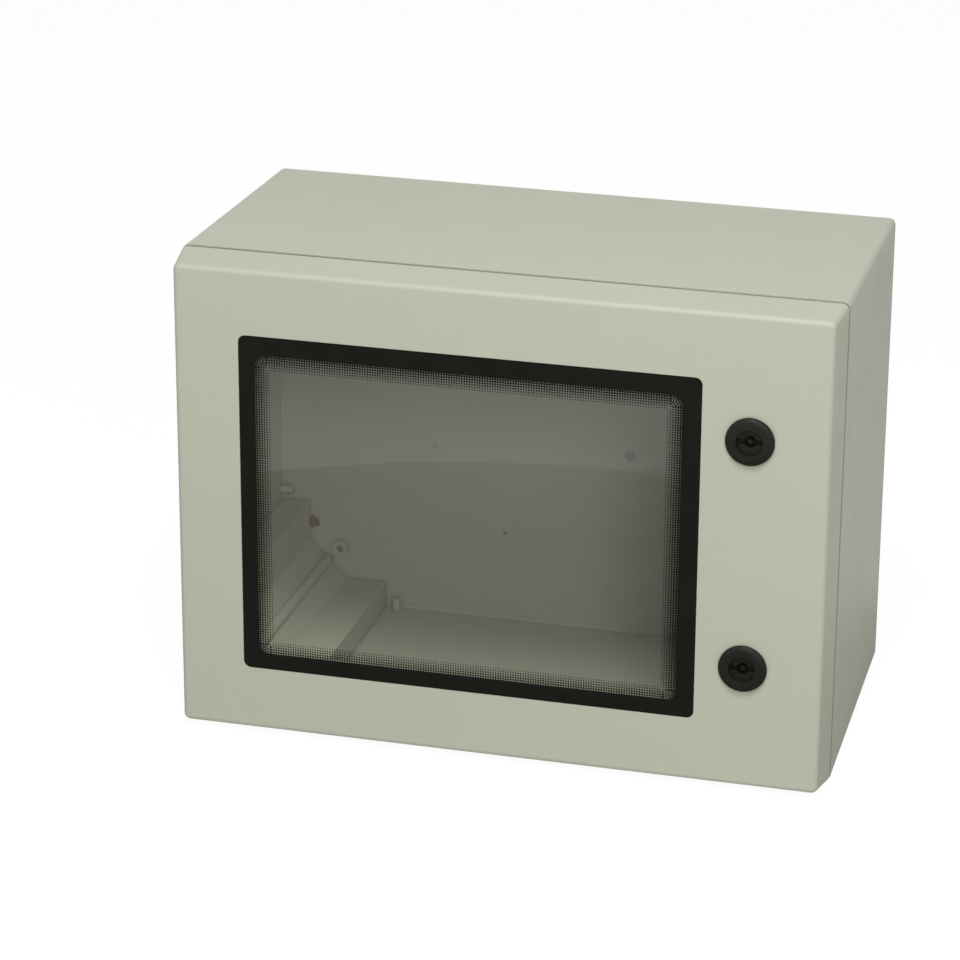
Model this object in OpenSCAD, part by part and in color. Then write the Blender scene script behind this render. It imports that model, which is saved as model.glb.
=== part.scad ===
// Wall-mounted electrical enclosure: a moulded body and a hinged door with a window and two key locks.
// Millimetres. +X points to the lock side, +Y to the wall behind and +Z up.
// The origin lies under the middle of the cabinet, at the level of its lowest edge.

/* [Cabinet] */
// Width of body and door where they meet
cabinet_w = 400; // [380:10:560]
// Height of body and door where they meet
cabinet_h = 300; // [280:10:460]
// Depth of the body behind the seam
body_depth = 182; // [120:2:240]
// Depth of the door in front of the seam
door_depth = 28; // [27:0.5:32]
// Open seam between body and door
seam_gap = 1.2; // [1:0.1:1.5]

/* [Moulded walls] */
// Wall of the body
body_wall = 3.5; // [3:0.1:4]
// Wall of the door
door_wall = 3; // [2.5:0.1:3.5]
// Lean of each side wall of the body over its depth
side_lean = 2.7; // [1:0.1:4]
// Lean of the body's top and bottom over its depth
top_lean = 4.1; // [1:0.1:5]
// Lean of each door edge over the door's depth
door_lean = 3.5; // [2.5:0.1:4]
// Radius of the four long corners outside
corner_r = 4; // [3.5:0.25:8]
// Rounding of the edges around the door's face and the back
edge_r = 2.8; // [1.5:0.1:3.2]
// Radius of the four long corners inside
inner_corner_r = 2.5; // [2:0.25:4]
// Rounding where the inner walls meet a floor
inner_r = 2; // [1:0.1:2]
// Break on the two edges of the seam
seam_break = 0.8; // [0.4:0.1:1.2]

/* [Back] */
// Depth of the recess behind the back panel
back_foot = 10; // [7:0.5:14]
// Floor of each screw column at the wall
pad_t = 4; // [3:0.5:5]
// Wall screw hole
wall_hole_d = 6.5; // [4.5:0.1:8]
// Wall screw from the cabinet's outer edges
wall_hole_inset = 22.5; // [20:0.5:26]
// Ring boss for a mounting plate
plate_boss_d = 10.4; // [9:0.1:12]
// Height of the ring boss
plate_boss_h = 4; // [3:0.5:8]
// Pilot hole in the ring boss
plate_pilot_d = 4.7; // [3:0.1:5.5]
// Depth of that pilot hole
plate_pilot_depth = 6; // [4:0.5:6.5]
// Ring boss from the cabinet's outer edges
plate_boss_inset = 45.5; // [44:0.5:60]
// Small post on floor, ceiling and side walls
post_d = 5; // [4:0.25:6]
// Height of the post above its wall
post_h = 8.5; // [5:0.5:12]
// Hole in the end of the post
post_hole_d = 2.4; // [1.5:0.1:3]
// Depth of that hole
post_hole_depth = 6; // [3:0.5:8]
// Post from the cabinet's outer edges along its wall
post_inset = 84; // [80:1:100]

/* [Screw columns] */
// Inner face of a column from the outer edges
column_inset = 24; // [23:0.5:27]
// Where a column's slanted face begins
column_cut = 49; // [46:0.5:54]
// End of a column along the wall
column_end = 76; // [72:0.5:80]
// Wall of a column
column_wall = 3; // [2.5:0.1:3.5]
// Radius of the bead on the slanted face
bead_r = 3.5; // [2:0.25:5]

/* [Seal] */
// Thickness of the sealing lip
lip_t = 2.5; // [2:0.1:3]
// Depth of the gutter around the lip
gutter_depth = 4; // [3:0.25:6]
// Width of the ledge that the locks catch on
catch_ledge = 5; // [3:0.25:6]
// Thickness of the gasket
gasket_t = 7; // [5:0.25:8]
// Gasket beyond each face of the lip
gasket_side = 2; // [1:0.25:3]
// Thickness of the ribs beside the gasket
rib_t = 2; // [1.5:0.1:2.5]
// Height of the ribs above the gasket
rib_cover = 4; // [2:0.25:5]

/* [Window] */
// Pane from the hinge side
window_margin_hinge = 43; // [41:0.5:60]
// Pane from the lock side
window_margin_lock = 78.5; // [76:0.5:100]
// Pane from the top and bottom edges
window_margin_end = 43.5; // [41:0.5:60]
// Corner radius of the pane's seat
window_r = 4.5; // [3:0.25:8]
// Thickness of the pane
pane_t = 4; // [3:0.25:5]
// Gap around the pane
pane_play = 0.3; // [0.2:0.05:0.5]
// Thickness of the bond behind the pane
bond_t = 0.8; // [0.5:0.1:1.2]
// Width of the ledge that carries the pane
window_ledge = 9; // [6:0.25:11]
// Thickness of that ledge
window_ledge_t = 3; // [2:0.1:4]
// Width of the raised frame outside the pane
window_rim = 5; // [3:0.25:6]

/* [Locks] */
// Lock axis from the lock side
lock_inset = 50; // [49:0.5:54]
// Distance between the two locks
lock_pitch = 141.5; // [60:0.5:142]
// Diameter of the flange
lock_flange_d = 29; // [28:0.25:32]
// Height of the flange in front of the door
lock_proud = 3; // [2:0.25:4]
// Height of the flange's upright edge
lock_edge_h = 0.8; // [0.4:0.1:1.5]
// Diameter of the flat ring around the well
lock_ring_d = 21; // [19:0.25:24]
// Diameter of the threaded barrel
lock_barrel_d = 22; // [20:0.25:23]
// Distance across the barrel's flats
lock_flats = 20; // [18:0.25:21]
// Length of the barrel behind the door's face
lock_barrel_len = 20; // [17:0.5:22]
// Gap around the barrel in the door
lock_hole_play = 0.2; // [0.1:0.05:0.4]
// Diameter of the well and the rotor's head
lock_well_d = 16; // [15:0.25:17]
// Depth of the well
lock_well_depth = 2.6; // [1.5:0.1:4]
// Length of the rotor's head
rotor_head_len = 6.4; // [5.5:0.1:8]
// Diameter of the rotor's shaft
rotor_shaft_d = 11; // [9.5:0.25:12]
// Running clearance of the rotor
rotor_play = 0.08; // [0.05:0.01:0.1]
// Round key hole in the rotor
key_hole_d = 7.5; // [6:0.1:9]
// Depth of the key hole
key_hole_depth = 5; // [3:0.25:5.25]
// Pin in the key hole
key_pin_d = 3; // [2:0.1:4]
// Length across the two key wings
key_wing_len = 14.4; // [12:0.1:14.8]
// Height of a key wing
key_wing_h = 3.3; // [2:0.1:4]
// Depth of a key wing
key_wing_depth = 2.5; // [1.5:0.1:3]
// Square that drives the cam
drive_square = 7; // [6:0.1:7.5]
// Thickness of the cam
cam_t = 3; // [2:0.1:4]
// Width of the cam
cam_w = 16; // [12:0.25:18]
// Reach of the cam from the lock's axis
cam_reach = 25.5; // [23:0.1:25.7]
// Gap between the cam and the ledge it catches
cam_gap = 0.7; // [0.4:0.1:1.2]
// Distance across the flats of the lock's nut
lock_nut_af = 27; // [25:0.25:28]
// Thickness of the lock's nut
lock_nut_t = 5; // [3:0.25:6]
// Thickness of the seal under the flange
lock_seal_t = 1; // [0.6:0.1:1.2]
// Width of that seal
lock_seal_w = 2; // [1.2:0.1:2.2]

/* [Hinges] */
// Hinge from the top and bottom edges
hinge_inset = 46; // [44:0.5:50]
// Hinge axis from the side of the cabinet
hinge_side = 6; // [5.5:0.1:6.5]
// Hinge axis in front of the seam
hinge_ahead = 15.2; // [14.5:0.1:15.5]
// Diameter of the pin
pin_d = 3; // [2.5:0.1:3.2]
// Break on the ends of the pin
pin_break = 0.4; // [0.2:0.1:0.6]
// Running clearance of the pin in the bracket
pin_play = 0.06; // [0.02:0.01:0.1]
// Radius of the bracket's eye
eye_r = 3.6; // [3.2:0.1:3.8]
// Height of the bracket's arm
arm_h = 21; // [16:0.5:22]
// Thickness of the bracket's arm
arm_t = 5; // [4:0.25:5.5]
// Free play between hinge pieces
hinge_play = 0.4; // [0.3:0.05:0.6]
// Height of a hinge lug on the door
lug_h = 8; // [6:0.5:10]
// Radius of a hinge lug
lug_r = 4; // [3.5:0.1:4.5]
// Thickness of the bracket's foot
foot_t = 4; // [3:0.25:5]
// Width of the bracket's foot
foot_w = 10.5; // [10:0.25:12]
// Length of the bracket's foot
foot_len = 38; // [37:0.5:44]
// Front of the foot behind the seam
foot_back = 8; // [7:0.25:10]

/* [Fasteners] */
// Hinge screws to each side of the hinge's middle
hinge_screw_off = 14.7; // [14.5:0.1:15]
// Hinge screw shank
hinge_screw_d = 3; // [2.5:0.1:3.5]
// Hinge screw head
hinge_screw_head_d = 6; // [5:0.1:6.5]
// Hinge screw head height
hinge_screw_head_h = 2.4; // [1.8:0.1:3]
// Hinge screw length under its head
hinge_screw_len = 16; // [12:0.5:20]
// Boss that takes a hinge screw
hinge_boss_d = 8; // [6.5:0.1:9]
// Web from that boss to the wall
hinge_web_t = 2.5; // [1.5:0.1:3]
// Cam screw shank
cam_screw_d = 4; // [3:0.1:4.5]
// Cam screw head
cam_screw_head_d = 8; // [7:0.1:9]
// Cam screw head height
cam_screw_head_h = 2.6; // [2:0.1:3.5]
// Cam screw length under its head
cam_screw_len = 10; // [8:0.5:12]
// Cam washer outside
cam_washer_d = 11; // [10:0.1:12]
// Cam washer thickness
cam_washer_t = 1; // [0.6:0.1:1.5]
// Width of a driver slot in a screw head
driver_slot_w = 1; // [0.8:0.1:1.2]
// Depth of a driver slot in a screw head
driver_slot_depth = 1.2; // [0.8:0.1:1.5]

/* [Hidden] */
$fn = 64;
// Steps of a quarter round in the drafted mouldings, and the overshoot of a cut
round_steps = 8;
cut = 1;
// Colours of the grey moulding, black plastic, rubber, clear sheet and metals
moulding_grey = [0.70, 0.71, 0.63];
lock_black = [0.12, 0.12, 0.11];
rubber_black = [0.06, 0.06, 0.06];
clear_sheet = [0.75, 0.78, 0.75, 0.35];
zinc_steel = [0.70, 0.70, 0.68];
bracket_grey = [0.45, 0.46, 0.44];
// Planes along the depth, from the wall to the face of the door
y_back = (lock_proud + door_depth + body_depth) / 2;
y_pad = y_back - pad_t;
y_panel_out = y_back - back_foot;
y_panel_in = y_panel_out - body_wall;
y_seam = y_back - body_depth;
y_gutter = y_seam + gutter_depth;
y_frame = y_gutter + body_wall;
y_front = y_seam - door_depth;
y_door_rear = y_seam - seam_gap;
y_skin = y_front + door_wall;
y_gasket = y_skin + gasket_t;
y_rib = y_gasket + rib_cover;
y_pane_back = y_front + pane_t;
y_bond_back = y_pane_back + bond_t;
y_ledge_back = y_bond_back + window_ledge_t;
z_mid = cabinet_h / 2;
// Faces of the seal loops, measured inwards from the outer edges
lip_in = column_inset + lip_t;
gasket_out = column_inset - gasket_side;
gasket_in = lip_in + gasket_side;
opening_in = lip_in + catch_ledge;
// Seat of the pane
window_w = cabinet_w - window_margin_hinge - window_margin_lock;
window_h = cabinet_h - 2 * window_margin_end;
window_x = (window_margin_hinge - window_margin_lock) / 2;
// Hinge axis and the foot of its bracket
hinge_x = hinge_side - cabinet_w / 2;
hinge_y = y_seam - hinge_ahead;
hinge_z = [cabinet_h - hinge_inset, hinge_inset];
y_foot = y_seam + foot_back;
y_foot_back = y_foot + foot_t;
foot_x = body_wall + hinge_play - cabinet_w / 2;
boss_x = foot_x + foot_w / 2;
notch_h = arm_h + 2 * hinge_play;
// Lock axes, and depths along a lock from the door's face
lock_x = cabinet_w / 2 - lock_inset;
lock_z = [z_mid + lock_pitch / 2, z_mid - lock_pitch / 2];
rotor_front = lock_well_depth - lock_proud;
rotor_shoulder = rotor_front + rotor_head_len;
rotor_end_play = 0.2;
cam_front = lock_barrel_len + 2 * rotor_end_play;
cam_back = cam_front + cam_t;
catch_front = y_frame - y_front + cam_gap;
cam_screw_seat = cam_back + cam_washer_t;

// Half width and half height of the body and of the door at a depth y
function body_half_w(y) = cabinet_w / 2 - side_lean * (y - y_seam - seam_break) / body_depth;
function body_half_h(y) = cabinet_h / 2 - top_lean * (y - y_seam - seam_break) / body_depth;
function door_half_w(y) = cabinet_w / 2 - door_lean * (y_seam - y) / door_depth;
function door_half_h(y) = cabinet_h / 2 - door_lean * (y_seam - y) / door_depth;

// Extrudes an upright outline, drawn around the cabinet's middle, from y0 to y1
module upright(y0, y1) {
    translate([0, y1, z_mid]) rotate([90, 0, 0]) linear_extrude(height = y1 - y0) children();
}

// Cylinder along the depth from y0 to y1
module bar(d, y0, y1) {
    translate([0, y0, 0]) rotate([-90, 0, 0]) cylinder(h = y1 - y0, d = d);
}

// Places a piece at the four corners of an upright rectangle
module at_corners(half_w, half_h, y) {
    for (side = [-1, 1], end = [-1, 1])
        translate([side * half_w, y, z_mid + end * half_h]) children();
}

// Upright rounded rectangle at depth y, as a ring of points
function ring(y, half_w, half_h, r) = [
    for (q = [0 : 3], i = [0 : round_steps])
        let (
            a = 90 * (q + i / round_steps),
            side = q == 0 || q == 3 ? 1 : -1,
            end = q < 2 ? 1 : -1
        )
        [side * (half_w - r) + r * cos(a), y, z_mid + end * (half_h - r) + r * sin(a)]
];

// Rings of the body and of the door, set in from their outsides
function body_ring(y, inset, r) = ring(y, body_half_w(y) - inset, body_half_h(y) - inset, r);
function door_ring(y, inset, r) = ring(y, door_half_w(y) - inset, door_half_h(y) - inset, r);

// How far a quarter round of radius r has run along and across after each step
function round_run(r, i) = r * (1 - sin(90 * i / round_steps));
function round_cut(r, i) = r * (1 - cos(90 * i / round_steps));

// Solid through a row of rings, from the front to the back
module loft(rings) {
    n = len(rings[0]);
    last = len(rings) - 1;
    polyhedron(
        points = [for (points = rings, point = points) point],
        faces = concat(
            [[for (i = [n - 1 : -1 : 0]) i]],
            [for (k = [0 : last - 1], i = [0 : n - 1])
                [k * n + i, k * n + (i + 1) % n, (k + 1) * n + (i + 1) % n, (k + 1) * n + i]],
            [[for (i = [0 : n - 1]) last * n + i]]
        )
    );
}

module rounded_rect(w, h, r) {
    square([w - 2 * r, h], center = true);
    square([w, h - 2 * r], center = true);
    for (side = [-1, 1], end = [-1, 1])
        translate([side * (w / 2 - r), end * (h / 2 - r)]) circle(r);
}

// Rectangle with slanted corners that follow the screw columns
module loop_face(inset) {
    w = cabinet_w / 2 - inset;
    h = cabinet_h / 2 - inset;
    c = column_cut - column_inset - (inset - column_inset) * (2 - sqrt(2));
    polygon([
        [w - c, h], [c - w, h], [-w, h - c], [-w, c - h],
        [c - w, -h], [w - c, -h], [w, c - h], [w, h - c]
    ]);
}

module loop(outer, inner) {
    difference() {
        loop_face(outer);
        loop_face(inner);
    }
}

// Draws an outline in all four corners, measured inwards from the outer edges
module each_corner() {
    for (side = [0, 1], end = [0, 1])
        mirror([side, 0]) mirror([0, end]) translate([-cabinet_w / 2, -cabinet_h / 2]) children();
}

// L-shaped outline of a screw column with its slanted inner corner
module column_outline(inset, slant, end) {
    polygon([
        [-cut, -cut], [end, -cut], [end, inset], [slant, inset],
        [inset, slant], [inset, end], [-cut, end]
    ]);
}

module column_profile() {
    column_outline(column_inset, column_cut, column_end);
    translate([1, 1] * (column_cut + column_inset) / 2) circle(bead_r);
}

module pocket_profile() {
    column_outline(
        column_inset - column_wall,
        column_cut - column_wall * (sqrt(2) - 1),
        column_end - column_wall
    );
}

// Outside of the body, widest at the seam and leaning in towards the wall
module body_outside() {
    loft(concat(
        [body_ring(y_seam, seam_break, corner_r - seam_break), body_ring(y_seam + seam_break, 0, corner_r)],
        [for (i = [0 : round_steps])
            body_ring(y_back - round_run(edge_r, i), round_cut(edge_r, i), corner_r - round_cut(edge_r, i))]
    ));
}

// Inside of the body from y0 to y1, one wall within the outside
module body_inside(y0, y1) {
    loft(concat(
        [body_ring(y0, body_wall, inner_corner_r)],
        [for (i = [0 : round_steps])
            body_ring(
                y1 - round_run(inner_r, i),
                body_wall + round_cut(inner_r, i),
                inner_corner_r - round_cut(inner_r, i)
            )]
    ));
}

// Places a ring boss for the mounting plate at each of its four places
module at_plate_bosses() {
    at_corners(cabinet_w / 2 - plate_boss_inset, cabinet_h / 2 - plate_boss_inset, 0) children();
}

// Places a post upright on floor, ceiling and side walls, next to the back panel
module at_posts() {
    y = y_panel_in - inner_r - 0.6 * post_d;
    x = cabinet_w / 2 - post_inset;
    z = z_mid - post_inset;
    for (side = [-1, 1], end = [-1, 1]) {
        translate([side * x, y, z_mid + end * (body_half_h(y) - body_wall - post_h)])
            rotate([end > 0 ? 0 : 180, 0, 0]) children();
        translate([side * (body_half_w(y) - body_wall - post_h), y, z_mid + end * z])
            rotate([0, side * 90, 0]) children();
    }
}

// Places a hinge screw at every hinge seat, on the hinge side alone or on both sides
module at_hinge_screws(sides, levels) {
    for (side = sides, level = levels, end = [-1, 1])
        translate([-side * boss_x, 0, level + end * hinge_screw_off]) children();
}

module main_cavity() {
    difference() {
        body_inside(y_frame, y_panel_in);
        upright(y_frame - cut, y_panel_in + cut) each_corner() column_profile();
        at_plate_bosses() bar(plate_boss_d, y_panel_in - plate_boss_h, y_panel_in + cut);
        at_posts() cylinder(h = post_h + body_wall, d = post_d);
    }
}

// Hollow of the screw columns, open to the front, with the hinge seats left standing
module column_pockets() {
    difference() {
        intersection() {
            body_inside(y_seam - cut, y_pad);
            upright(y_seam - cut, y_pad + cut) each_corner() pocket_profile();
        }
        at_hinge_screws([-1, 1], hinge_z) bar(hinge_boss_d, y_foot_back, y_back);
        for (side = [-1, 1])
            at_hinge_screws([side], hinge_z)
                translate([side * (hinge_boss_d + body_wall) / 2, (y_foot_back + y_back) / 2, 0])
                    cube([hinge_boss_d + body_wall, y_back - y_foot_back, hinge_web_t], center = true);
    }
}

module gutter() {
    upright(y_seam - cut, y_gutter)
        rounded_rect(cabinet_w - 2 * body_wall, cabinet_h - 2 * body_wall, inner_r);
}

module back_recess() {
    upright(y_panel_out, y_back + cut) difference() {
        rounded_rect(
            2 * (body_half_w(y_back) - body_wall),
            2 * (body_half_h(y_back) - body_wall),
            inner_r
        );
        each_corner() column_outline(column_inset, column_cut, column_end);
    }
}

module enclosure_body() {
    color(moulding_grey) difference() {
        union() {
            difference() {
                body_outside();
                gutter();
                upright(y_gutter - cut, y_frame + cut) loop_face(opening_in);
                main_cavity();
                column_pockets();
                back_recess();
            }
            upright(y_gasket, y_gutter + cut) loop(column_inset, lip_in);
        }
        at_corners(cabinet_w / 2 - wall_hole_inset, cabinet_h / 2 - wall_hole_inset, 0)
            bar(wall_hole_d, y_pad - cut, y_back + cut);
        at_plate_bosses()
            bar(plate_pilot_d, y_panel_in - plate_boss_h - cut, y_panel_in - plate_boss_h + plate_pilot_depth);
        at_posts() translate([0, 0, -cut]) cylinder(h = post_hole_depth + cut, d = post_hole_d);
        at_hinge_screws([-1, 1], hinge_z)
            bar(hinge_screw_d, y_foot_back - cut, y_foot_back + hinge_screw_len);
    }
}

// Outside of the door, leaning in towards its face
module door_outside() {
    loft(concat(
        [for (i = [round_steps : -1 : 0])
            door_ring(y_front + round_run(edge_r, i), round_cut(edge_r, i), corner_r - round_cut(edge_r, i))],
        [door_ring(y_door_rear - seam_break, 0, corner_r)],
        [door_ring(y_door_rear, seam_break, corner_r - seam_break)]
    ));
}

module door_hollow() {
    loft(concat(
        [for (i = [round_steps : -1 : 0])
            door_ring(
                y_skin + round_run(inner_r, i),
                door_wall + round_cut(inner_r, i),
                inner_corner_r - round_cut(inner_r, i)
            )],
        [door_ring(y_seam, door_wall, inner_corner_r)]
    ));
}

module window_outline(grow) {
    translate([window_x, 0])
        rounded_rect(window_w + 2 * grow, window_h + 2 * grow, max(window_r + grow, pane_play));
}

module window_opening_outline() {
    translate([window_x, 0])
        rounded_rect(window_w - 2 * window_ledge, window_h - 2 * window_ledge, window_r);
}

// Two lugs above and below the notch of one hinge, grown out of the side wall and the skin
module hinge_lugs(level) {
    wall_x = pane_play - door_half_w(y_front);
    for (end = [-1, 1])
        translate([0, 0, level + end * (notch_h + lug_h) / 2]) {
            translate([hinge_x, hinge_y, 0]) cylinder(h = lug_h, r = lug_r, center = true);
            translate([wall_x, y_skin - door_wall / 2, -lug_h / 2])
                cube([hinge_x + lug_r - wall_x, hinge_y - y_skin + door_wall / 2, lug_h]);
        }
}

module hinge_notch(level) {
    x0 = -cabinet_w / 2 - cut;
    translate([x0, y_skin, level - notch_h / 2])
        cube([hinge_x + eye_r + hinge_play - x0, y_seam - y_skin, notch_h]);
}

// Places a piece along the axis of one lock, from the door's face inwards
module at_lock(level) {
    translate([lock_x, y_front, level]) rotate([-90, 0, 0]) children();
}

// Round bar with two flats, as the lock's barrel and its hole in the door
module flatted_bar(d, flats, z0, z1) {
    translate([0, 0, z0]) intersection() {
        cylinder(h = z1 - z0, d = d);
        translate([-d / 2, -flats / 2, 0]) cube([d, flats, z1 - z0]);
    }
}

module door_leaf() {
    color(moulding_grey) difference() {
        union() {
            difference() {
                door_outside();
                door_hollow();
            }
            upright(y_skin - cut, y_ledge_back) window_outline(window_rim);
            upright(y_skin - cut, y_rib) loop(gasket_out - rib_t, gasket_out);
            upright(y_skin - cut, y_rib) loop(gasket_in, gasket_in + rib_t);
            for (level = hinge_z)
                hinge_lugs(level);
        }
        upright(y_front - cut, y_bond_back) window_outline(0);
        upright(y_front - cut, y_ledge_back + cut) window_opening_outline();
        for (level = hinge_z) {
            hinge_notch(level);
            translate([hinge_x, hinge_y, level])
                cylinder(h = notch_h + 2 * lug_h + 2 * cut, d = pin_d, center = true);
        }
        for (level = lock_z)
            at_lock(level)
                flatted_bar(
                    lock_barrel_d + 2 * lock_hole_play,
                    lock_flats + 2 * lock_hole_play,
                    -cut, door_wall + cut
                );
    }
}

module window_pane() {
    color(clear_sheet) upright(y_front, y_pane_back) window_outline(-pane_play);
}

module window_bond() {
    color(rubber_black) upright(y_pane_back, y_bond_back) difference() {
        window_outline(-pane_play);
        window_opening_outline();
    }
}

module door_gasket() {
    color(rubber_black) upright(y_skin, y_gasket) loop(gasket_out, gasket_in);
}

// Arm of a bracket seen from above: web through the seam, cover in the door's notch and eye at the pin
module bracket_arm_outline() {
    y_cover = y_door_rear - hinge_play;
    x_in = foot_x + arm_t;
    x_out = hinge_play - door_half_w(y_cover);
    x_eye = hinge_play - door_half_w(hinge_y + pin_d);
    polygon([
        [x_in, y_foot_back], [foot_x, y_foot_back], [foot_x, y_cover], [x_out, y_cover],
        [x_eye, hinge_y + pin_d], [hinge_x, hinge_y], [x_in, hinge_y + pin_d]
    ]);
    translate([hinge_x, hinge_y]) circle(eye_r);
}

module hinge_bracket(level) {
    color(bracket_grey) difference() {
        union() {
            translate([0, 0, level - arm_h / 2])
                linear_extrude(height = arm_h) bracket_arm_outline();
            translate([foot_x, y_foot, level - foot_len / 2]) cube([foot_w, foot_t, foot_len]);
        }
        translate([hinge_x, hinge_y, level])
            cylinder(h = arm_h + 2 * cut, d = pin_d + 2 * pin_play, center = true);
        at_hinge_screws([-1], [level])
            bar(hinge_screw_d + 2 * hinge_play, y_foot - cut, y_foot_back + cut);
    }
}

// Slotted pan-head screw, its head below z = 0 and its shank above
module pan_screw(d, length, head_d, head_h) {
    difference() {
        union() {
            cylinder(h = length, d = d);
            rotate_extrude() polygon([
                [0, 0], [head_d / 2, 0], [head_d / 2, -head_h / 2], [head_d / 3, -head_h], [0, -head_h]
            ]);
        }
        translate([-head_d, -driver_slot_w / 2, -head_h - cut])
            cube([2 * head_d, driver_slot_w, driver_slot_depth + cut]);
    }
}

module hinge_bracket_screws(level) {
    color(zinc_steel) at_hinge_screws([-1], [level])
        translate([0, y_foot, 0]) rotate([-90, 0, 0])
            pan_screw(hinge_screw_d, hinge_screw_len, hinge_screw_head_d, hinge_screw_head_h);
}

// Dowel pressed into both lugs, its ends flush with them
module hinge_pin(level) {
    r = pin_d / 2;
    end = notch_h / 2 + lug_h;
    color(zinc_steel) translate([hinge_x, hinge_y, level]) rotate_extrude() polygon([
        [0, -end], [r - pin_break, -end], [r, pin_break - end],
        [r, end - pin_break], [r - pin_break, end], [0, end]
    ]);
}

// Domed flange of a lock, from its upright edge to the flat ring around the well
module lock_flange() {
    dome = lock_proud - lock_edge_h;
    slope = (lock_flange_d - lock_ring_d) / 2;
    rotate_extrude() polygon(concat(
        [[0, 0], [lock_flange_d / 2, 0]],
        [for (a = [0 : 15 : 90]) [lock_ring_d / 2 + slope * cos(a), -lock_edge_h - dome * sin(a)]],
        [[0, -lock_proud]]
    ));
}

module lock_seal_ring() {
    outer = lock_flange_d / 2 - lock_edge_h;
    translate([0, 0, -lock_seal_t]) difference() {
        cylinder(h = lock_seal_t, r = outer);
        translate([0, 0, -cut]) cylinder(h = lock_seal_t + 2 * cut, r = outer - lock_seal_w);
    }
}

module lock_housing(level) {
    color(lock_black) at_lock(level) difference() {
        union() {
            lock_flange();
            flatted_bar(lock_barrel_d, lock_flats, -lock_edge_h, lock_barrel_len);
        }
        lock_seal_ring();
        translate([0, 0, -lock_proud - cut])
            cylinder(h = lock_proud + cut + rotor_shoulder + rotor_end_play, d = lock_well_d);
        cylinder(h = lock_barrel_len + cut, d = rotor_shaft_d + 2 * rotor_play);
    }
}

module lock_seal(level) {
    color(rubber_black) at_lock(level) lock_seal_ring();
}

module lock_nut(level) {
    color(lock_black) at_lock(level) translate([0, 0, door_wall]) difference() {
        cylinder(h = lock_nut_t, d = lock_nut_af / cos(30), $fn = 6);
        translate([0, 0, -cut]) cylinder(h = lock_nut_t + 2 * cut, d = lock_barrel_d);
    }
}

// Turning insert with a round key hole, its pin and two wings, and a square for the cam
module lock_rotor(level) {
    color(lock_black) at_lock(level) difference() {
        union() {
            difference() {
                translate([0, 0, rotor_front])
                    cylinder(h = rotor_head_len, d = lock_well_d - 2 * rotor_play);
                translate([0, 0, rotor_front - cut]) {
                    cylinder(h = key_hole_depth + cut, d = key_hole_d);
                    translate([-key_wing_len / 2, -key_wing_h / 2, 0])
                        cube([key_wing_len, key_wing_h, key_wing_depth + cut]);
                }
            }
            translate([0, 0, rotor_front + cut]) cylinder(h = rotor_head_len - cut, d = key_pin_d);
            translate([0, 0, rotor_shoulder])
                cylinder(h = cam_front - rotor_shoulder, d = rotor_shaft_d);
            translate([0, 0, cam_front + (cam_t - rotor_end_play) / 2])
                cube([drive_square, drive_square, cam_t - rotor_end_play], center = true);
        }
        translate([0, 0, cam_screw_seat - cam_screw_len]) cylinder(h = cam_screw_len, d = cam_screw_d);
    }
}

// Cranked cam in profile: hub plate, slanted step and catch that goes behind the ledge.
// The step ends where the cam's long edges still clear the ledge at every turn.
module cam_profile() {
    hub = cam_w / 2;
    ledge_off = lock_inset - opening_in;
    bend = sqrt(ledge_off * ledge_off - hub * hub) - cam_gap;
    polygon([
        [-hub, cam_front], [hub, cam_front], [bend, catch_front], [cam_reach, catch_front],
        [cam_reach, catch_front + cam_t], [bend - cam_t / 2, catch_front + cam_t],
        [hub - cam_t / 2, cam_back], [-hub, cam_back]
    ]);
}

// The cam's end is an arc about the lock's axis, so it passes the screw columns as it turns
module lock_cam(level) {
    depth = catch_front + 2 * cam_t;
    color(zinc_steel) at_lock(level) rotate([0, 0, -90]) difference() {
        intersection() {
            translate([0, cam_w / 2, 0]) rotate([90, 0, 0]) linear_extrude(height = cam_w) cam_profile();
            cylinder(h = depth, r = cam_reach);
            union() {
                cylinder(h = depth, d = cam_w);
                translate([0, -cam_w / 2, 0]) cube([cam_reach + cut, cam_w, depth]);
            }
        }
        translate([0, 0, cam_front + cam_t / 2])
            cube([drive_square, drive_square, cam_t + 2 * cut], center = true);
    }
}

module cam_washer(level) {
    color(zinc_steel) at_lock(level) translate([0, 0, cam_back]) difference() {
        cylinder(h = cam_washer_t, d = cam_washer_d);
        translate([0, 0, -cut]) cylinder(h = cam_washer_t + 2 * cut, d = cam_screw_d);
    }
}

module cam_screw(level) {
    color(zinc_steel) at_lock(level) translate([0, 0, cam_screw_seat]) rotate([180, 0, 0])
        pan_screw(cam_screw_d, cam_screw_len, cam_screw_head_d, cam_screw_head_h);
}

enclosure_body();
hinge_bracket(hinge_z[0]);  // hinge_bracket_upper
hinge_bracket(hinge_z[1]);  // hinge_bracket_lower
hinge_bracket_screws(hinge_z[0]);  // hinge_bracket_screws_upper
hinge_bracket_screws(hinge_z[1]);  // hinge_bracket_screws_lower
door_leaf();
window_pane();
window_bond();
door_gasket();
hinge_pin(hinge_z[0]);  // hinge_pin_upper
hinge_pin(hinge_z[1]);  // hinge_pin_lower
lock_housing(lock_z[0]);  // lock_housing_upper
lock_housing(lock_z[1]);  // lock_housing_lower
lock_seal(lock_z[0]);  // lock_seal_upper
lock_seal(lock_z[1]);  // lock_seal_lower
lock_nut(lock_z[0]);  // lock_nut_upper
lock_nut(lock_z[1]);  // lock_nut_lower
lock_rotor(lock_z[0]);  // lock_rotor_upper
lock_rotor(lock_z[1]);  // lock_rotor_lower
lock_cam(lock_z[0]);  // lock_cam_upper
lock_cam(lock_z[1]);  // lock_cam_lower
cam_washer(lock_z[0]);  // cam_washer_upper
cam_washer(lock_z[1]);  // cam_washer_lower
cam_screw(lock_z[0]);  // cam_screw_upper
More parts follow.
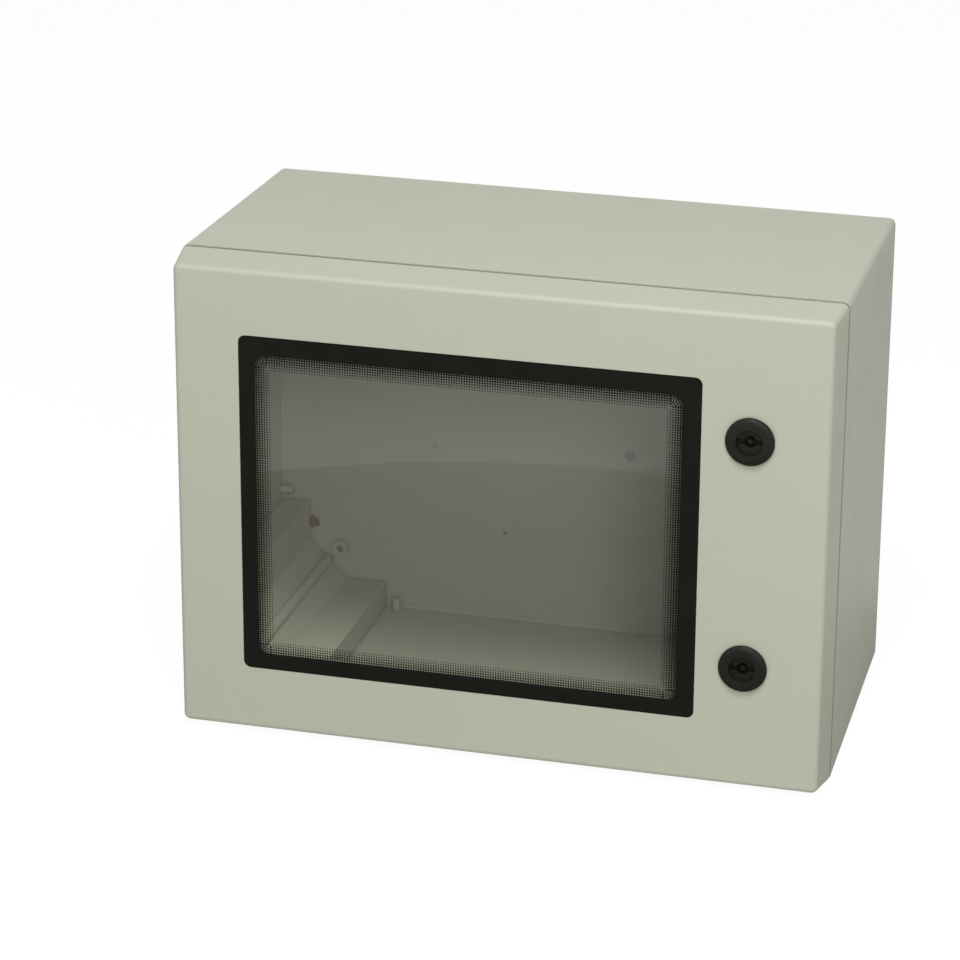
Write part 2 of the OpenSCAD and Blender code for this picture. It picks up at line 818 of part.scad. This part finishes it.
cam_screw(lock_z[1]);  // cam_screw_lower
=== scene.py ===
import math

import bmesh
import bpy
from mathutils import Matrix, Vector


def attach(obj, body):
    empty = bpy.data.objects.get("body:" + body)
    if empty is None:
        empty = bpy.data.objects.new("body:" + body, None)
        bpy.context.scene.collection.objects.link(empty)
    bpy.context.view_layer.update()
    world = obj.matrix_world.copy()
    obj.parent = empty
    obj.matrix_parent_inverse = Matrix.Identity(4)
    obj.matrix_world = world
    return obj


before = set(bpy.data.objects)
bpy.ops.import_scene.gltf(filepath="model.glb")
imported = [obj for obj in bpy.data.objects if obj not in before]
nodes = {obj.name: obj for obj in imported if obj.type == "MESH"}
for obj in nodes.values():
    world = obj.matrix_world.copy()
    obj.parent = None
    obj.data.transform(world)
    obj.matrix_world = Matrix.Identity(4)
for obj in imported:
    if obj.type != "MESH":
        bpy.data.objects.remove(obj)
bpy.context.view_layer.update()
scene = bpy.context.scene
MM = 0.001

# Camera fitted to the photograph: lens and sensor in millimetres, place in metres, axes
CAMERA_LENS = 140.09
CAMERA_SENSOR = 36.0
CAMERA_CLIP = (0.05, 60.0)
CAMERA_AT = (0.51267, -2.07177, 0.97184)
CAMERA_RIGHT = (0.966038, 0.258344, 0.005301)
CAMERA_UP = (-0.098347, 0.348627, 0.932087)
CAMERA_BACK = (0.238951, -0.900954, 0.362195)

# Pane outline that the print repeats from the solids, in millimetres
PANE_LEFT, PANE_RIGHT = -156.7, 121.2
PANE_LOW, PANE_HIGH = 43.8, 256.2
PANE_R = 4.2
PANE_FRONT = -103.5

# Print on the pane's front: gap to the pane and thickness in millimetres
PRINT_GAP = 0.003
PRINT_T = 0.02
PRINT_BACK = PANE_FRONT - PRINT_GAP
PRINT_FRONT = PRINT_BACK - PRINT_T
CORNER_STEPS = 8

# Inner edge of the solid border, in millimetres
FADE_LEFT, FADE_RIGHT = -146.77, 110.17
FADE_LOW, FADE_HIGH = 52.78, 244.67
FADE_R = 7.5

# Rows of dots from the border inwards: pitch in millimetres, dot widths as shares of it
FADE_PITCH = 1.54
FADE_SIZES = [0.944, 0.867, 0.790, 0.686, 0.586, 0.451]
DOT_SIDES = 10
SQUARE_CORNER_CLEAR = 0.8 * FADE_PITCH

# Plane of the seam between door and body, and where its band of painted shade fades out, in
# metres
SEAM_Y = -0.0761
SEAM_SHADE_FADE = (0.0021, 0.0028)
SHELTER_REACH = 0.005

# Marks on the inner back panel: place and reach in metres, colour and strength
MARKS = [
    ((-0.1740, 0.0930, 0.0615), 0.0052, (0.21, 0.135, 0.030), 0.95),
    ((0.0372, 0.0930, 0.1288), 0.0042, (0.16, 0.17, 0.19), 0.42),
    ((-0.0442, 0.0930, 0.0673), 0.0017, (0.14, 0.14, 0.11), 0.55),
    ((-0.0911, 0.0930, 0.1224), 0.0016, (0.26, 0.26, 0.21), 0.45),
]
MARK_THIN = 8.0

# Stage in metres, with the brightness of its surfaces to the eye and in reflections
FLOOR_HALF = 8.0
FLOOR_AT = (0.0, 0.0, -0.0010)
TABLE_R = 0.442
TABLE_SEGMENTS = 160
TABLE_AT = (-0.039, -0.158, -0.0005)
EYE_GLOW = 0.94
FLOOR_MIRROR_GLOW = 0.92
TABLE_MIRROR_GLOW = 0.35

# Lamps: turn and rise in degrees, size in metres, power in watts
LAMPS = [
    ("overhead_lamp", 12.0, 60.0, 0.9, 31.5),
    ("front_lamp", 22.0, 25.0, 0.5, 9.5),
]
LAMP_AIM = (0.0, 0.0, 0.15)
LAMP_DISTANCE = 2.2
WORLD_SOFT = 0.22
WORLD_SEEN = 1.0
WHITE = (1.0, 1.0, 1.0, 1.0)


def add_camera():
    data = bpy.data.cameras.new("photo_camera")
    data.lens = CAMERA_LENS
    data.sensor_width = CAMERA_SENSOR
    data.sensor_fit = "HORIZONTAL"
    data.clip_start, data.clip_end = CAMERA_CLIP
    camera = bpy.data.objects.new("photo_camera", data)
    turn = Matrix((CAMERA_RIGHT, CAMERA_UP, CAMERA_BACK)).transposed().to_4x4()
    camera.matrix_world = Matrix.Translation(CAMERA_AT) @ turn
    scene.collection.objects.link(camera)
    scene.camera = camera


# Small helpers for node trees
class Tree:
    def __init__(self, owner):
        owner.use_nodes = True
        self.tree = owner.node_tree
        self.tree.nodes.clear()

    def node(self, kind, **values):
        made = self.tree.nodes.new("ShaderNode" + kind)
        for name, value in values.items():
            setattr(made, name, value)
        return made

    def link(self, source, target):
        self.tree.links.new(source, target)

    def noise(self, coords, scale, detail, rough):
        made = self.node("TexNoise")
        made.inputs["Scale"].default_value = scale
        made.inputs["Detail"].default_value = detail
        made.inputs["Roughness"].default_value = rough
        self.link(coords, made.inputs["Vector"])
        return made.outputs["Fac"]

    def stretched(self, coords, scale):
        made = self.node("Mapping")
        made.inputs["Scale"].default_value = scale
        self.link(coords, made.inputs["Vector"])
        return made.outputs["Vector"]

    def spread(self, value, low, high, from_low=0.0, from_high=1.0):
        made = self.node("MapRange")
        made.inputs["From Min"].default_value = from_low
        made.inputs["From Max"].default_value = from_high
        made.inputs["To Min"].default_value = low
        made.inputs["To Max"].default_value = high
        self.link(value, made.inputs["Value"])
        return made.outputs["Result"]

    def ramp(self, value, stops):
        made = self.node("ValToRGB")
        points = made.color_ramp.elements
        while len(points) < len(stops):
            points.new(0.5)
        for point, (place, colour) in zip(points, stops):
            point.position = place
            point.color = (*colour, 1.0)
        self.link(value, made.inputs["Fac"])
        return made.outputs["Color"]

    def blend(self, amount, first, second):
        """Mixes a colour socket with a plain colour."""
        made = self.node("Mix", data_type="RGBA")
        self.link(amount, made.inputs["Factor"])
        start, end = [socket for socket in made.inputs if socket.type == "RGBA"]
        self.link(first, start)
        end.default_value = (*second, 1.0)
        return [socket for socket in made.outputs if socket.type == "RGBA"][0]

    def calc(self, operation, first, second):
        """Joins a value socket with another one or with a plain number."""
        made = self.node("Math", operation=operation)
        self.link(first, made.inputs[0])
        if isinstance(second, float):
            made.inputs[1].default_value = second
        else:
            self.link(second, made.inputs[1])
        return made.outputs[0]

    def bump(self, height, distance, strength, normal=None):
        made = self.node("Bump")
        made.inputs["Distance"].default_value = distance
        made.inputs["Strength"].default_value = strength
        self.link(height, made.inputs["Height"])
        if normal is not None:
            self.link(normal, made.inputs["Normal"])
        return made.outputs["Normal"]

    def mix_shader(self, amount, first, second):
        made = self.node("MixShader")
        for source, socket in zip((amount, first, second), made.inputs):
            self.link(source, socket)
        return made.outputs["Shader"]

    def output(self, shader, kind="OutputMaterial"):
        self.link(shader, self.node(kind).inputs["Surface"])

    def edge_share(self, radius, low, high):
        """Share of wear, 0 on a flat face and 1 on an edge, and the rounded normal."""
        bevel = self.node("Bevel", samples=6)
        bevel.inputs["Radius"].default_value = radius
        flat = self.node("NewGeometry")
        dot = self.node("VectorMath", operation="DOT_PRODUCT")
        self.link(bevel.outputs["Normal"], dot.inputs[0])
        self.link(flat.outputs["Normal"], dot.inputs[1])
        share = self.spread(dot.outputs["Value"], 1.0, 0.0, low, high)
        return share, bevel.outputs["Normal"]

    def openness(self, reach):
        """How open a point lies, 1 on a free face and less in a gap or a crease."""
        shelter = self.node("AmbientOcclusion", samples=12)
        shelter.inputs["Distance"].default_value = reach
        return shelter.outputs["AO"]

    def finish(self, colour, rough, normal, metallic=0.0, specular=0.5):
        shader = self.node("BsdfPrincipled")
        shader.inputs["Metallic"].default_value = metallic
        shader.inputs["Specular IOR Level"].default_value = specular
        self.link(colour, shader.inputs["Base Color"])
        self.link(rough, shader.inputs["Roughness"])
        self.link(normal, shader.inputs["Normal"])
        self.output(shader.outputs["BSDF"])


def start_material(name):
    material = bpy.data.materials.new(name)
    t = Tree(material)
    return material, t, t.node("TexCoord").outputs["Object"]


def add_mark(t, at, colour, spot, reach, tint, share):
    """A ragged mark around a point, thin in depth so that it stays on the inner face."""
    x, y, z = spot
    away = t.node("VectorMath", operation="DISTANCE")
    away.inputs[1].default_value = (x, y * MARK_THIN, z)
    t.link(t.stretched(at, (1.0, MARK_THIN, 1.0)), away.inputs[0])
    waver = t.spread(t.noise(at, 260.0, 2.0, 0.6), -reach / 2, reach / 2)
    ragged = t.calc("ADD", away.outputs["Value"], waver)
    return t.blend(t.spread(ragged, share, 0.0, 0.7 * reach, reach), colour, tint)


def paint_gap_shade(t, at, colour):
    """Painted shade: a dark band in the seam between door and body and a mild darkening in
    creases, strongest where a point lies sheltered.
    """
    free = t.openness(SHELTER_REACH)
    # painted shade in creases, darker where the point lies sheltered
    colour = t.blend(t.spread(free, 0.38, 0.0, 0.40, 0.90), colour, (0.14, 0.138, 0.105))
    place = t.node("SeparateXYZ")
    t.link(at, place.inputs[0])
    away = t.calc("ABSOLUTE", t.calc("ADD", place.outputs["Y"], -SEAM_Y), 0.0)
    band = t.spread(away, 0.95, 0.0, *SEAM_SHADE_FADE)
    # painted shade in the seam, darkest deep inside the gap
    seam = t.calc("MULTIPLY", t.spread(free, 1.0, 0.0, 0.74, 0.97), band)
    return t.blend(seam, colour, (0.045, 0.044, 0.032))


# Grey moulding of body and door, with a fine moulded grain, edges rubbed a little paler, and
# painted shade in the seam and creases
def grey_moulding():
    material, t, at = start_material("grey_moulding_finish")
    colour = t.ramp(t.noise(at, 9.0, 4.0, 0.55), [
        (0.30, (0.497, 0.503, 0.404)),
        (0.52, (0.500, 0.506, 0.408)),
        (0.72, (0.503, 0.509, 0.412)),
    ])
    speck = t.spread(t.noise(at, 520.0, 1.0, 0.4), 0.0, 1.0, 0.70, 0.78)
    colour = t.blend(t.calc("MULTIPLY", speck, 0.10), colour, (0.40, 0.405, 0.325))
    edge, normal = t.edge_share(0.0004, 0.70, 0.99)
    rub = t.calc("MULTIPLY", edge, t.spread(t.noise(at, 160.0, 3.0, 0.6), 0.05, 0.35))
    colour = t.blend(rub, colour, (0.560, 0.566, 0.475))
    for spot, reach, tint, share in MARKS:
        colour = add_mark(t, at, colour, spot, reach, tint, share)
    # painted shade in the seam between door and body and in creases
    colour = paint_gap_shade(t, at, colour)
    rough = t.spread(t.noise(at, 34.0, 3.0, 0.6), 0.46, 0.53, 0.3, 0.7)
    normal = t.bump(t.noise(at, 26.0, 2.0, 0.5), 0.0001, 0.02, normal)
    normal = t.bump(t.noise(at, 1500.0, 2.0, 0.6), 0.00006, 0.35, normal)
    t.finish(colour, rough, normal, specular=0.45)
    return material


# Clear pane: plain glass to the eye, open to lamps and to light that is scattered inside
def clear_pane():
    material, t, at = start_material("clear_pane_finish")
    shader = t.node("BsdfPrincipled")
    shader.inputs["Base Color"].default_value = (0.735, 0.735, 0.698, 1.0)
    shader.inputs["Transmission Weight"].default_value = 1.0
    shader.inputs["IOR"].default_value = 1.49
    smear = t.spread(t.noise(at, 16.0, 4.0, 0.6), 0.0, 0.004, 0.45, 0.75)
    t.link(smear, shader.inputs["Roughness"])
    t.link(t.bump(t.noise(at, 5.0, 1.0, 0.4), 0.0001, 0.01), shader.inputs["Normal"])
    clear = t.node("BsdfTransparent").outputs["BSDF"]
    path = t.node("LightPath")
    lamps = t.mix_shader(path.outputs["Is Shadow Ray"], shader.outputs["BSDF"], clear)
    t.output(t.mix_shader(path.outputs["Is Diffuse Ray"], lamps, clear))
    return material


# Matt black print on the front of the pane
def black_print():
    material, t, at = start_material("black_print_finish")
    colour = t.ramp(t.noise(at, 60.0, 3.0, 0.6), [
        (0.30, (0.0095, 0.0090, 0.0074)),
        (0.70, (0.0120, 0.0114, 0.0096)),
    ])
    rough = t.spread(t.noise(at, 420.0, 2.0, 0.5), 0.60, 0.75)
    normal = t.bump(t.noise(at, 2600.0, 1.0, 0.5), 0.00001, 0.3)
    t.finish(colour, rough, normal, specular=0.05)
    return material


# Black plastic of the locks, lightly textured and rubbed along its edges
def black_plastic():
    material, t, at = start_material("black_plastic_finish")
    colour = t.ramp(t.noise(at, 70.0, 4.0, 0.6), [
        (0.30, (0.0110, 0.0110, 0.0080)),
        (0.70, (0.0150, 0.0150, 0.0115)),
    ])
    edge, normal = t.edge_share(0.00025, 0.70, 0.98)
    rub = t.calc("MULTIPLY", edge, t.spread(t.noise(at, 500.0, 3.0, 0.6), 0.05, 0.35))
    colour = t.blend(rub, colour, (0.034, 0.034, 0.028))
    rough = t.spread(t.noise(at, 240.0, 3.0, 0.6), 0.36, 0.50)
    normal = t.bump(t.noise(at, 2200.0, 2.0, 0.6), 0.00003, 0.35, normal)
    t.finish(colour, rough, normal, specular=0.16)
    return material


# Rubber of the seals and of the pane's bond, with pores of a given density
def black_rubber(name, low, high, pores):
    material, t, at = start_material(name)
    colour = t.ramp(t.noise(at, 45.0, 4.0, 0.6), [(0.30, low), (0.70, high)])
    rough = t.spread(t.noise(at, 130.0, 3.0, 0.6), 0.68, 0.88)
    edge, normal = t.edge_share(0.0006, 0.75, 0.99)
    colour = t.blend(t.calc("MULTIPLY", edge, 0.35), colour, (0.045, 0.045, 0.043))
    cells = t.node("TexVoronoi")
    cells.inputs["Scale"].default_value = pores
    t.link(at, cells.inputs["Vector"])
    normal = t.bump(cells.outputs["Distance"], 0.00012, 0.5, normal)
    t.finish(colour, rough, normal, specular=0.3)
    return material


# Zinc plated steel of pins, screws and cams
def zinc_steel():
    material, t, at = start_material("zinc_steel_finish")
    colour = t.ramp(t.noise(at, 110.0, 5.0, 0.65), [
        (0.28, (0.50, 0.50, 0.475)),
        (0.50, (0.60, 0.60, 0.575)),
        (0.74, (0.66, 0.655, 0.62)),
    ])
    edge, normal = t.edge_share(0.0003, 0.70, 0.99)
    colour = t.blend(t.calc("MULTIPLY", edge, 0.6), colour, (0.78, 0.78, 0.76))
    rough = t.spread(t.noise(at, 300.0, 4.0, 0.6), 0.26, 0.46)
    lines = t.noise(t.stretched(at, (90.0, 1800.0, 1800.0)), 1.0, 3.0, 0.6)
    normal = t.bump(lines, 0.00002, 0.25, normal)
    t.finish(colour, rough, normal, metallic=1.0)
    return material


# Grey coated casting of the hinge brackets
def hinge_casting():
    material, t, at = start_material("hinge_casting_finish")
    colour = t.ramp(t.noise(at, 55.0, 4.0, 0.6), [
        (0.30, (0.155, 0.160, 0.148)),
        (0.70, (0.185, 0.190, 0.176)),
    ])
    edge, normal = t.edge_share(0.0006, 0.75, 0.99)
    wear = t.spread(t.noise(at, 400.0, 4.0, 0.6), 0.0, 0.8, 0.35, 0.65)
    colour = t.blend(t.calc("MULTIPLY", edge, wear), colour, (0.42, 0.42, 0.40))
    rough = t.spread(t.noise(at, 150.0, 3.0, 0.6), 0.40, 0.58)
    normal = t.bump(t.noise(at, 900.0, 3.0, 0.6), 0.00008, 0.4, normal)
    t.finish(colour, rough, normal)
    return material


def dress(names, material):
    for name in names:
        slots = nodes[name].data.materials
        slots.clear()
        slots.append(material)


def pair(name):
    return [name + "_upper", name + "_lower"]


def ring_at(mesh, outline, y):
    """Vertices along an outline in the pane's plane, from millimetres."""
    return [mesh.verts.new((x * MM, y * MM, z * MM)) for x, z in outline]


# Closed thin prism of the print
def prism(mesh, outline):
    fore = ring_at(mesh, outline, PRINT_FRONT)
    rear = ring_at(mesh, outline, PRINT_BACK)
    mesh.faces.new(fore)
    mesh.faces.new(rear[::-1])
    count = len(outline)
    for i in range(count):
        j = (i + 1) % count
        mesh.faces.new((fore[j], fore[i], rear[i], rear[j]))


def rounded(left, right, low, high, r):
    points = []
    for cx, cz, start in (
        (right - r, high - r, 0), (left + r, high - r, 90),
        (left + r, low + r, 180), (right - r, low + r, 270),
    ):
        for i in range(CORNER_STEPS + 1):
            a = math.radians(start + 90 * i / CORNER_STEPS)
            points.append((cx + r * math.cos(a), cz + r * math.sin(a)))
    return points


def new_object(name, mesh, material):
    data = bpy.data.meshes.new(name)
    mesh.to_mesh(data)
    mesh.free()
    data.materials.append(material)
    made = bpy.data.objects.new(name, data)
    scene.collection.objects.link(made)
    return made


def add_piece(name, mesh, material, body):
    bmesh.ops.recalc_face_normals(mesh, faces=mesh.faces)
    piece = new_object(name, mesh, material)
    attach(piece, body)


# Solid black border along the edge of the pane
def print_border(material):
    outer = rounded(PANE_LEFT, PANE_RIGHT, PANE_LOW, PANE_HIGH, PANE_R)
    inner = rounded(FADE_LEFT, FADE_RIGHT, FADE_LOW, FADE_HIGH, FADE_R)
    mesh = bmesh.new()
    rings = [
        ring_at(mesh, outer, PRINT_FRONT), ring_at(mesh, inner, PRINT_FRONT),
        ring_at(mesh, inner, PRINT_BACK), ring_at(mesh, outer, PRINT_BACK),
    ]
    count = len(outer)
    for near, far in zip(rings, rings[1:] + rings[:1]):
        for i in range(count):
            j = (i + 1) % count
            mesh.faces.new((near[i], near[j], far[j], far[i]))
    add_piece("pane_print_border", mesh, material, "door")


def dot_places(half, reach):
    """Even places along one side of the border, as far as a row of dots reaches."""
    straight = 2 * (half - FADE_R)
    step = straight / round(straight / FADE_PITCH)
    first = -math.floor(reach / step + 0.5) + 0.5
    spots = [(first + i) * step for i in range(int(1 - 2 * first) + 1)]
    return [spot for spot in spots if abs(spot) <= reach]


# Rows of round dots that shrink towards the middle of the pane
def print_dots(material):
    mid_x, mid_z = (FADE_LEFT + FADE_RIGHT) / 2, (FADE_LOW + FADE_HIGH) / 2
    half_w, half_h = (FADE_RIGHT - FADE_LEFT) / 2, (FADE_HIGH - FADE_LOW) / 2
    turns = [2 * math.pi * i / DOT_SIDES for i in range(DOT_SIDES)]
    # A polygon swelled to the area of the round dot
    swell = math.sqrt(2 * math.pi / (DOT_SIDES * math.sin(2 * math.pi / DOT_SIDES)))
    mesh = bmesh.new()

    def dot(x, z, size):
        x, z, r = mid_x + x, mid_z + z, swell * size / 2
        prism(mesh, [(x + r * math.cos(a), z + r * math.sin(a)) for a in turns])

    for row, share in enumerate(FADE_SIZES):
        inset = FADE_PITCH * (row + 0.5)
        size = share * FADE_PITCH
        w, h = half_w - inset, half_h - inset
        r = FADE_R - inset
        if r < FADE_PITCH / 2:
            r = 0.0
        corner_clear = r if r > 0 else SQUARE_CORNER_CLEAR
        for side in (-1, 1):
            for x in dot_places(half_w, w - corner_clear):
                dot(x, side * h, size)
            for z in dot_places(half_h, h - corner_clear):
                dot(side * w, z, size)
        bends = max(round(math.pi / 2 * r / FADE_PITCH), 1)
        for sx in (-1, 1):
            for sz in (-1, 1):
                for i in range(bends):
                    a = math.radians(90 * (i + 0.5) / bends)
                    if r > 0:
                        dot(sx * (w - r + r * math.cos(a)), sz * (h - r + r * math.sin(a)), size)
                    else:
                        dot(sx * w, sz * h, size)
    add_piece("pane_print_dots", mesh, material, "door")


# White to the eye and through the pane, of set brightness in reflections, pale to scattered light
def floor_material(name, mirror_glow):
    material = bpy.data.materials.new(name)
    t = Tree(material)
    path = t.node("LightPath")
    seen = t.calc("MAXIMUM", path.outputs["Is Camera Ray"], path.outputs["Is Transmission Ray"])
    shade = t.node("BsdfDiffuse")
    shade.inputs["Color"].default_value = (0.10, 0.10, 0.10, 1.0)
    lit = t.node("Emission")
    lit.inputs["Strength"].default_value = EYE_GLOW
    shown = t.node("AddShader")
    t.link(shade.outputs["BSDF"], shown.inputs[0])
    t.link(lit.outputs["Emission"], shown.inputs[1])
    mirrored = t.node("Emission")
    mirrored.inputs["Strength"].default_value = mirror_glow
    pale = t.node("BsdfDiffuse")
    pale.inputs["Color"].default_value = (0.80, 0.80, 0.79, 1.0)
    unseen = t.mix_shader(
        path.outputs["Is Glossy Ray"], pale.outputs["BSDF"], mirrored.outputs["Emission"]
    )
    t.output(t.mix_shader(seen, unseen, shown.outputs["Shader"]))
    return material


# Plain floor, and the round table whose edge the pane reflects
def add_stage():
    mesh = bmesh.new()
    bmesh.ops.create_grid(mesh, x_segments=1, y_segments=1, size=FLOOR_HALF)
    floor = new_object("floor", mesh, floor_material("floor_finish", FLOOR_MIRROR_GLOW))
    floor.location = FLOOR_AT
    mesh = bmesh.new()
    bmesh.ops.create_circle(mesh, cap_ends=True, segments=TABLE_SEGMENTS, radius=TABLE_R)
    table = new_object("turntable", mesh, floor_material("turntable_finish", TABLE_MIRROR_GLOW))
    table.location = TABLE_AT


# Surroundings that are white to the eye and in reflections, and soft as a light
def add_world():
    world = bpy.data.worlds.new("studio")
    scene.world = world
    t = Tree(world)
    path = t.node("LightPath")
    seen = t.calc("MAXIMUM", path.outputs["Is Camera Ray"], path.outputs["Is Glossy Ray"])
    seen = t.calc("MAXIMUM", seen, path.outputs["Is Transmission Ray"])
    soft, white = t.node("Background"), t.node("Background")
    for background, strength in ((soft, WORLD_SOFT), (white, WORLD_SEEN)):
        background.inputs["Color"].default_value = WHITE
        background.inputs["Strength"].default_value = strength
    both = t.mix_shader(seen, soft.outputs["Background"], white.outputs["Background"])
    t.output(both, "OutputWorld")


# A large soft lamp above the front and a smaller one low at the right
def add_lamps():
    for name, turn, rise, size, power in LAMPS:
        data = bpy.data.lights.new(name, "AREA")
        data.shape = "DISK"
        data.size = size
        data.energy = power
        lamp = bpy.data.objects.new(name, data)
        turn, rise = math.radians(turn), math.radians(rise)
        level = math.cos(rise)
        toward = Vector((level * math.sin(turn), -level * math.cos(turn), math.sin(rise)))
        lamp.location = Vector(LAMP_AIM) + LAMP_DISTANCE * toward
        lamp.rotation_euler = toward.to_track_quat("Z", "Y").to_euler()
        scene.collection.objects.link(lamp)


add_camera()

seal = black_rubber("black_rubber_finish", (0.010, 0.010, 0.010), (0.017, 0.017, 0.016), 900.0)
bond = black_rubber("black_bond_finish", (0.009, 0.009, 0.009), (0.013, 0.013, 0.012), 300.0)
steel = zinc_steel()
dress(["enclosure_body", "door_leaf"], grey_moulding())
dress(["window_pane"], clear_pane())
dress(["window_bond"], bond)
dress(["door_gasket"] + pair("lock_seal"), seal)
dress(pair("lock_housing") + pair("lock_nut") + pair("lock_rotor"), black_plastic())
dress(pair("hinge_bracket"), hinge_casting())
dress(pair("hinge_bracket_screws") + pair("hinge_pin") + pair("lock_cam"), steel)
dress(pair("cam_washer") + pair("cam_screw"), steel)

ink = black_print()
print_border(ink)
print_dots(ink)
add_stage()
add_world()
add_lamps()
scene.view_settings.view_transform = "Standard"
